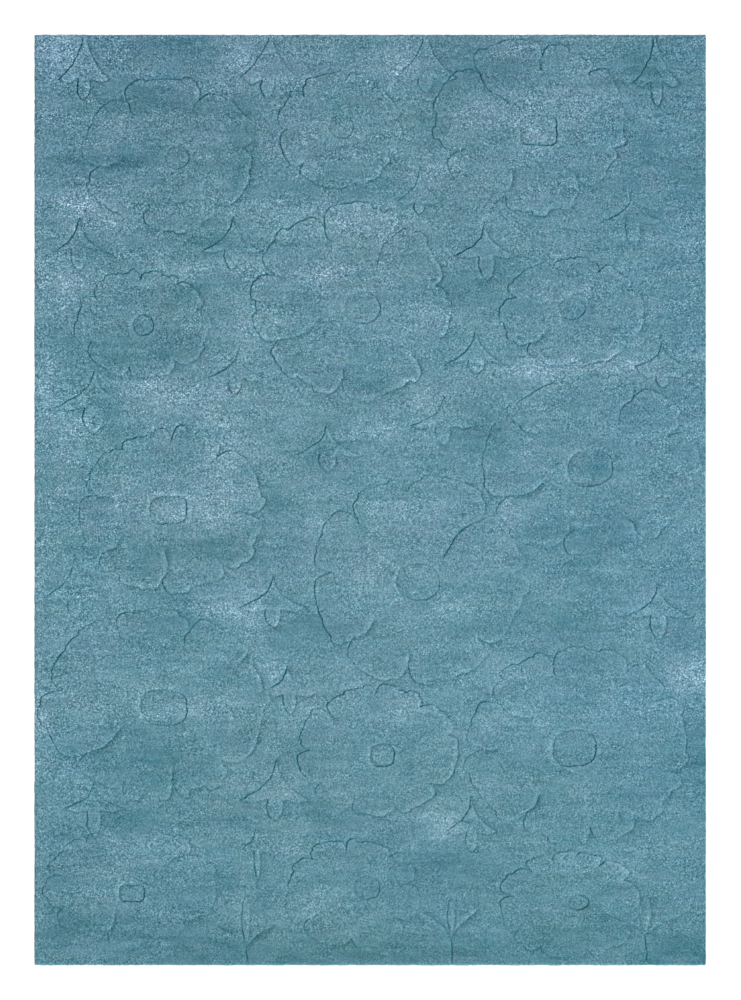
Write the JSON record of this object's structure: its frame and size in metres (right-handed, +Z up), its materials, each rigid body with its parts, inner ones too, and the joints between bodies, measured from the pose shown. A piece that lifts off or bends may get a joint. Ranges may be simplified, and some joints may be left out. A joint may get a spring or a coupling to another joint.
{
  "type": "wool rug",
  "caption": "Flat rectangular hand-tufted wool rug: short cut pile on a backing, carved with narrow grooves round flowers, petals and bud sprigs.",
  "frame": {"origin": "centre of the flat underside, which is the bottom of the bounding box", "axes": "+X across the width, +Y along the length towards the top of the picture, +Z up out of the pile"},
  "size_m": [1.53, 2.12, 0.013],
  "materials": {
    "wool": "matt cut wool pile in mottled teal blue"
  },
  "bodies": {
    "root": {"wool_rug": "wool"}
  },
  "joints": []
}
